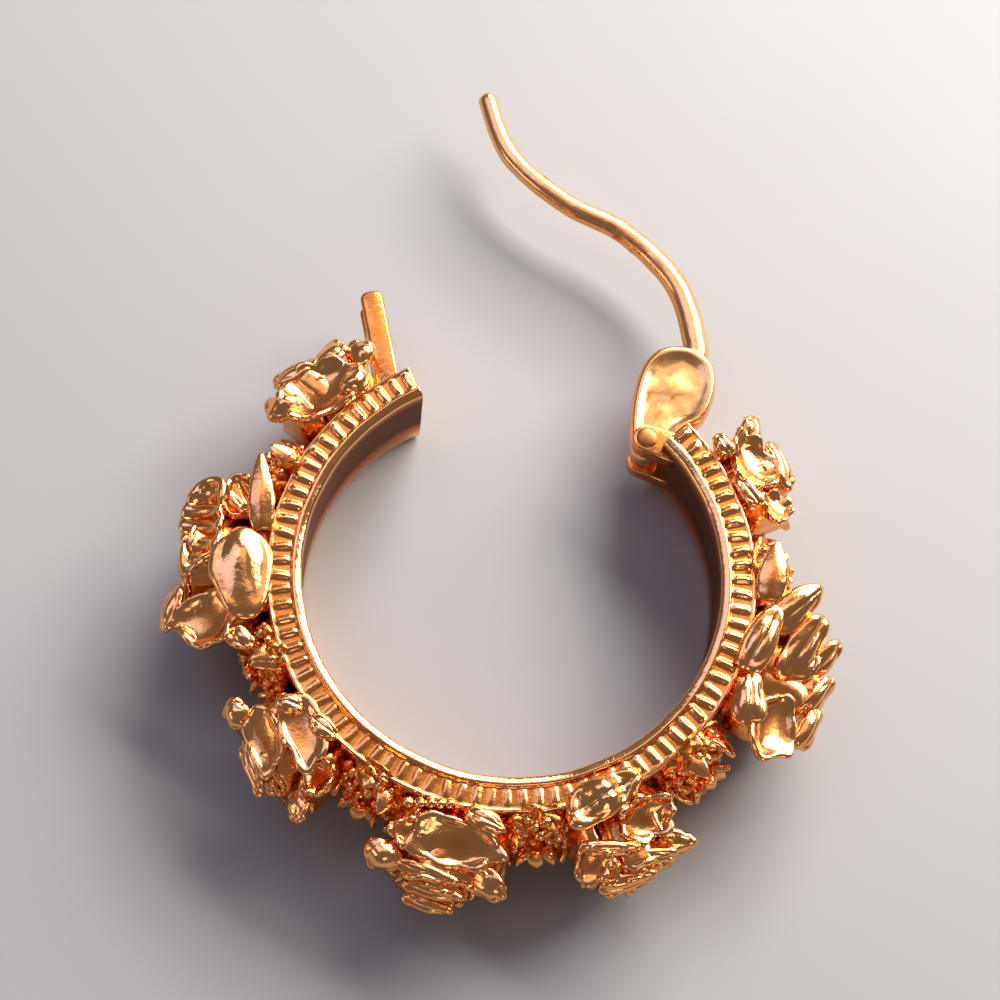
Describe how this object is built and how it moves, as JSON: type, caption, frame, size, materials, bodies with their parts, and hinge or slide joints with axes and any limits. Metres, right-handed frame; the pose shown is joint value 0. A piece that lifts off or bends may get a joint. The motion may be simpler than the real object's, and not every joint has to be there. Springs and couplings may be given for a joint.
{
  "type": "hoop earring",
  "caption": "Open hoop earring lying on its side: a reeded band with cast roses on its outside, a forked catch post and a hinged ear wire.",
  "frame": {"origin": "on the surface that the earring lies on, under the middle of its open outline", "axes": "+Z along the band's axis, up from the face that it rests on; +Y from the roses at the bottom of the hoop to the open ear wire; +X from the catch post's side to the hinge's side"},
  "size_m": [0.0288, 0.0374, 0.0052],
  "materials": {
    "cast_gold": "polished rose-gold plate over cast metal, worn at its edges",
    "wire_gold": "polished gold plate with fine scratches and a little tarnish",
    "pin_gold": "tarnished gold plate"
  },
  "bodies": {
    "hoop": {"hoop": "cast_gold", "hinge_pin": "pin_gold"},
    "ear_wire": {"ear_wire": "wire_gold"}
  },
  "joints": [
    {"name": "ear_wire_hinge", "type": "hinge", "parent": "hoop", "child": "ear_wire", "pos_m": [0.00495, 0.00265, 0.0025], "axis": [0, 0, 1], "range_deg": [0, 44]}
  ]
}
